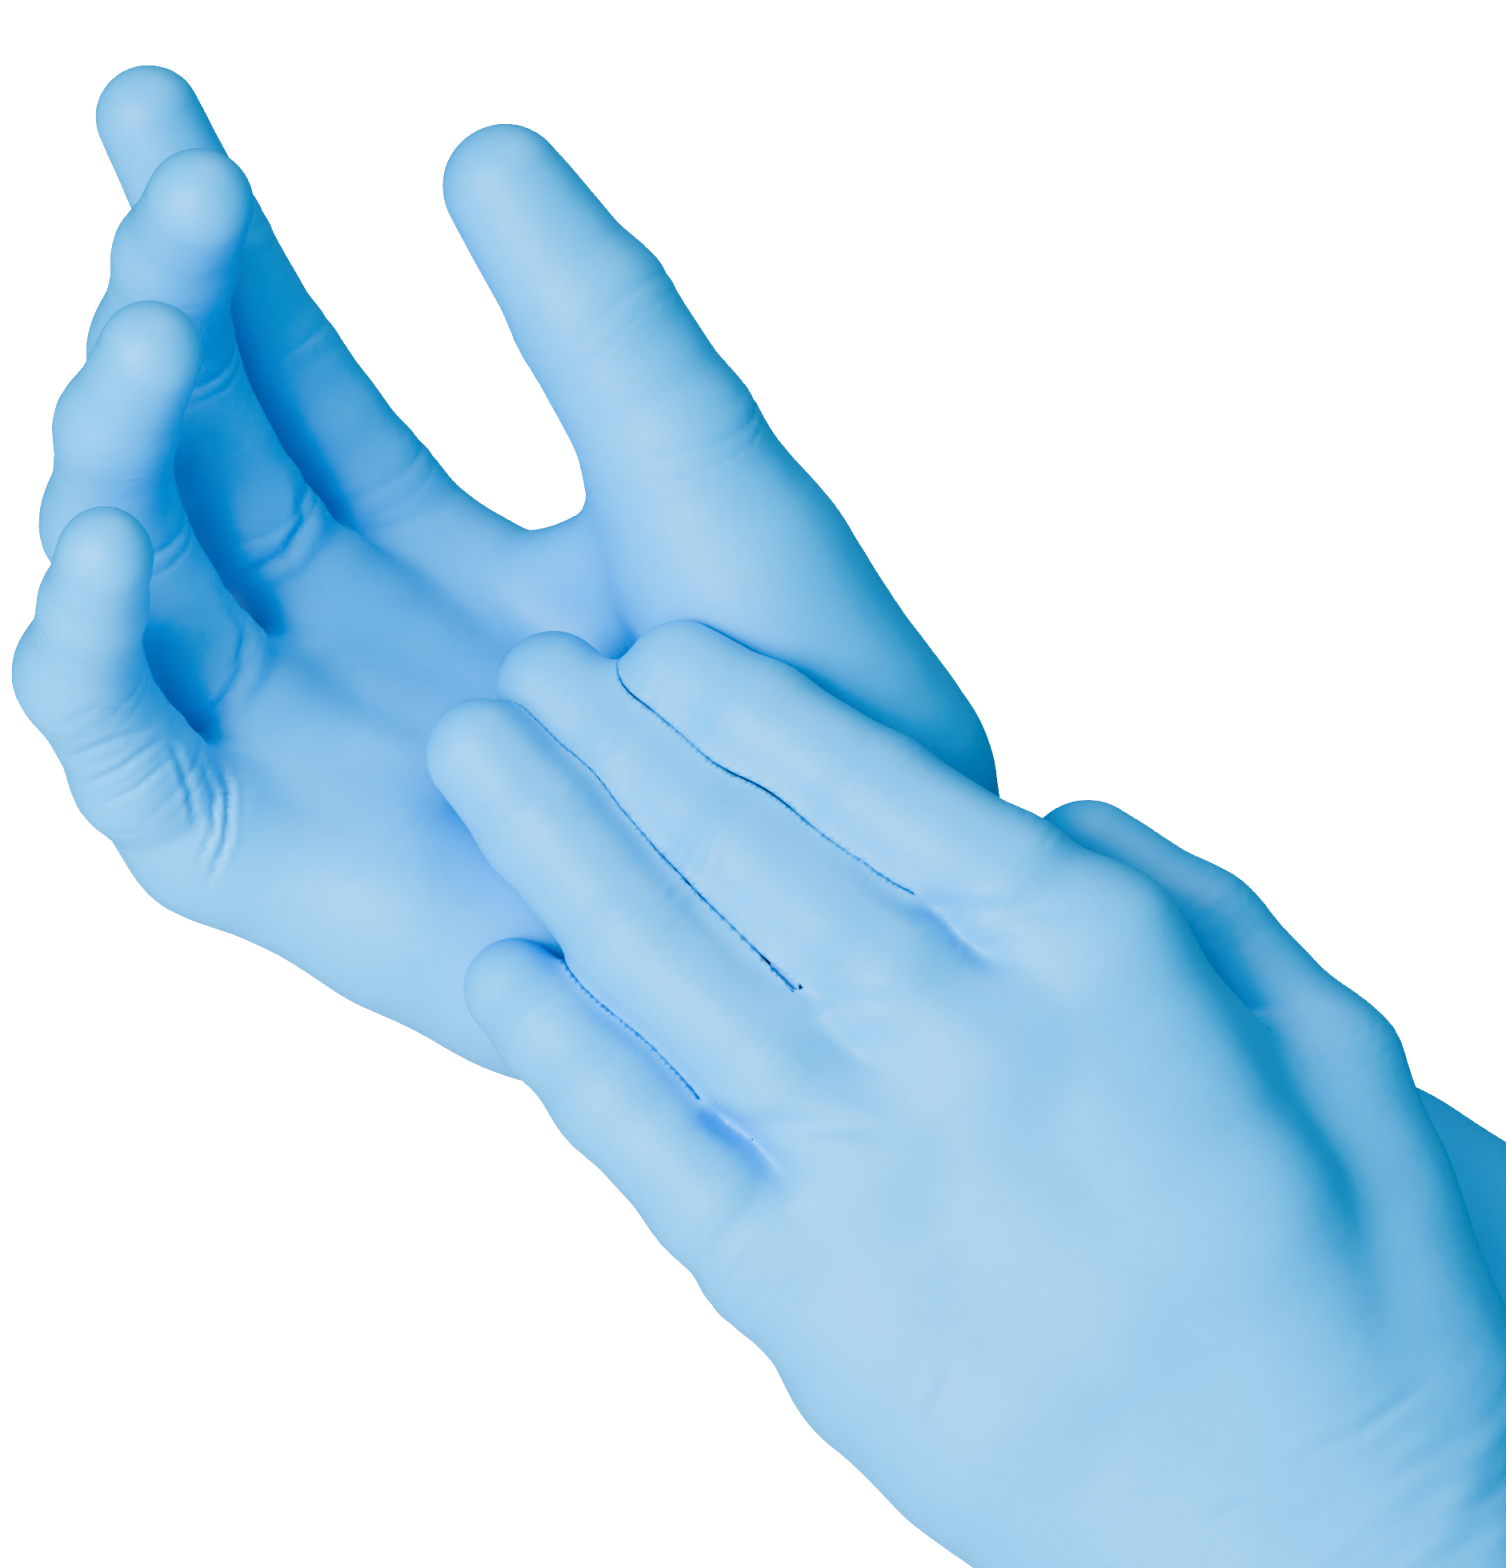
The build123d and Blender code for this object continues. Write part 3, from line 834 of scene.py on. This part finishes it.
            # rim loop for the bead
            rim = pv[flat > -0.25]
            across = unit(glove.across - odir * (glove.across @ odir))
            up = np.cross(odir, across)
            ang = np.arctan2((rim - O) @ up, (rim - O) @ across)
            rr = np.linalg.norm((rim - O) - np.outer((rim - O) @ odir, odir), axis=1)
            o = np.argsort(ang)
            aa = np.linspace(-math.pi, math.pi, 260, endpoint=False)
            r2 = np.interp(aa, ang[o], rr[o], period=2 * math.pi)
            r2 = (np.roll(r2, 1) + r2 + np.roll(r2, -1)) / 3
            path = [O + odir * 0.35 + across * (math.cos(a) * (r - 0.1)) + up * (math.sin(a) * (r - 0.1)) for a, r in zip(aa, r2)]
            bead = tube_object(f"{side}_cuff_bead_roll", path, 1.15, BEAD, odir)
            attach(bead, body)
            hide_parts(f"{side}_cuff_bead")
            pieces.append(bead)
    bm.free()
    print(side, "palm and cuff", round(time.time() - T0, 1))
    for n in FINGERS:
        field = lambda p, g=glove, n=n: g.finger_field(p, n)
        j, r = glove.J[n], glove.r[n]
        co, no = glove.cut[n][0]
        lo = np.minimum.reduce([np.array(j[i]) - r[i] - (7 if i == 1 else 3) for i in range(1, len(j))])
        hi = np.maximum.reduce([np.array(j[i]) + r[i] + (7 if i == 1 else 3) for i in range(1, len(j))])
        v, q = surface_nets(field, lo, hi, PITCH_FINGER)
        q = check_winding(field, v, q)
        v = settle(field, v, q)
        bm = to_bm(v, q.tolist())
        for co, no in glove.cut[n]:
            bisect(bm, co, no)
        for o in glove.NEXT[n]:
            mid, w, dm = glove.between(n, o)
            c = centres(bm)
            near = np.nonzero((np.abs((c - mid) @ w) < 3) & ((c - mid) @ dm < 8))[0]
            bisect(bm, mid, w, [bm.faces[i] for i in near])
            bm.faces.ensure_lookup_table()
        c = centres(bm)
        ok = glove.finger(c, n) < REACH[n] + 0.5
        for o in {"thumb": ("index",), "index": ("thumb",)}.get(n, ()):
            ok &= glove.finger(c, n) < glove.finger(c, o) + 0.4
        for o in glove.NEXT[n]:
            ok &= glove.finger(c, n) < glove.finger(c, o) + 0.5
        P = glove.cut[n]
        side_of = [(c - co) @ no > 0 for co, no in P]
        tags = [("root_crease", ok & side_of[0] & ~side_of[1] & ~side_of[3], FOLD, "glove_film_fold"),
                ("base_sleeve", ok & side_of[1] & ~side_of[2], FILM, "glove_film"),
                ("middle_crease", ok & side_of[2] & ~side_of[3], FOLD, "glove_film_fold"),
                ("fingertip", ok & side_of[3], FILM, "glove_film")]
        for name, mask, mat, sl in tags:
            for f, mm in zip(bm.faces, mask):
                f.tag = bool(mm)
            pv, pf = from_bm(bm, lambda f: f.tag)
            # past the line between two roots the film tucks under its neighbour
            tuck = np.zeros(len(pv))
            if name == "root_crease":
                mine = glove.finger(pv, n)
                for o in glove.NEXT[n]:
                    tuck = np.maximum(tuck, 0.35 * step(mine - glove.finger(pv, o), 0.06, 0.4))
            pv, nn = relief(glove, field, pv)
            pv = pv - nn * tuck[:, None]
            ob = film_object(f"{side}_{n}_{name}_film", pv, pf, nn, mat)
            if name == "root_crease":
                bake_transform(ob)
            elif name == "base_sleeve":
                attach(ob, f"{side}_{n}_base")
            elif name == "middle_crease":
                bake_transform(ob)
            else:
                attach(ob, f"{side}_{n}_end")
            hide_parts(f"{side}_{n}_{name}")
            pieces.append(ob)
        bm.free()
    print(side, "fingers", round(time.time() - T0, 1))

# ------------------------------------------------------- floor, light, camera
scene = bpy.context.scene


def area_light(name, at, look, size, power, colour=(1, 1, 1)):
    data = bpy.data.lights.new(name, "AREA")
    data.shape = "DISK"
    data.size = size
    data.energy = power
    data.color = colour
    ob = bpy.data.objects.new(name, data)
    scene.collection.objects.link(ob)
    ob.location = at
    from mathutils import Vector
    ob.rotation_euler = (Vector(look) - Vector(at)).to_track_quat("-Z", "Y").to_euler()
    return ob


target = (-0.10, -0.04, 0.05)
area_light("key", (-0.80, -1.15, 0.10), target, 0.70, 15.0)
area_light("front_fill", (-0.45, -1.7, 0.30), target, 1.0, 5.0)
area_light("top", (0.18, -0.30, 1.15), target, 0.8, 4.8)

bm = bmesh.new()
bmesh.ops.create_circle(bm, cap_ends=True, segments=96, radius=1.1)
floor_mesh = bpy.data.meshes.new("floor")
bm.to_mesh(floor_mesh)
bm.free()
floor = bpy.data.objects.new("floor", floor_mesh)
floor.location = (-0.09, 0.0, -0.26)
scene.collection.objects.link(floor)
pale = bpy.data.materials.new("pale_floor")
pale.use_nodes = True
pale.node_tree.nodes["Principled BSDF"].inputs["Base Color"].default_value = (0.90, 0.91, 0.92, 1)
pale.node_tree.nodes["Principled BSDF"].inputs["Emission Color"].default_value = (0.95, 0.98, 1.0, 1)
pale.node_tree.nodes["Principled BSDF"].inputs["Emission Strength"].default_value = 0.28
pale.node_tree.nodes["Principled BSDF"].inputs["Roughness"].default_value = 0.8
floor_mesh.materials.append(pale)

world = bpy.data.worlds.new("studio")
scene.world = world
world.use_nodes = True
wn = world.node_tree
wn.nodes.clear()
wo = wn.nodes.new("ShaderNodeOutputWorld")
mix = wn.nodes.new("ShaderNodeMixShader")
seen = wn.nodes.new("ShaderNodeBackground")
lit = wn.nodes.new("ShaderNodeBackground")
lp = wn.nodes.new("ShaderNodeLightPath")
seen.inputs["Color"].default_value = (1, 1, 1, 1)
seen.inputs["Strength"].default_value = 20.0
lit.inputs["Color"].default_value = (0.58, 0.86, 1, 1)
lit.inputs["Strength"].default_value = 0.18
wn.links.new(lp.outputs["Is Camera Ray"], mix.inputs["Fac"])
wn.links.new(lit.outputs["Background"], mix.inputs[1])
wn.links.new(seen.outputs["Background"], mix.inputs[2])
wn.links.new(mix.outputs["Shader"], wo.inputs["Surface"])
scene.view_settings.view_transform = "AgX"
scene.view_settings.look = "AgX - Very High Contrast"

cam_data = bpy.data.cameras.new("camera")
cam_data.sensor_fit = "HORIZONTAL"
cam_data.sensor_width = 36.0
cam_data.lens = 36.0 * PX / 1882.0
cam_data.clip_start = 0.05
cam_data.clip_end = 20.0
cam = bpy.data.objects.new("camera", cam_data)
cam.location = tuple(CAMERA / 1000.0)
cam.rotation_euler = (math.radians(90), 0, 0)
scene.collection.objects.link(cam)
scene.camera = cam

bpy.context.view_layer.update()
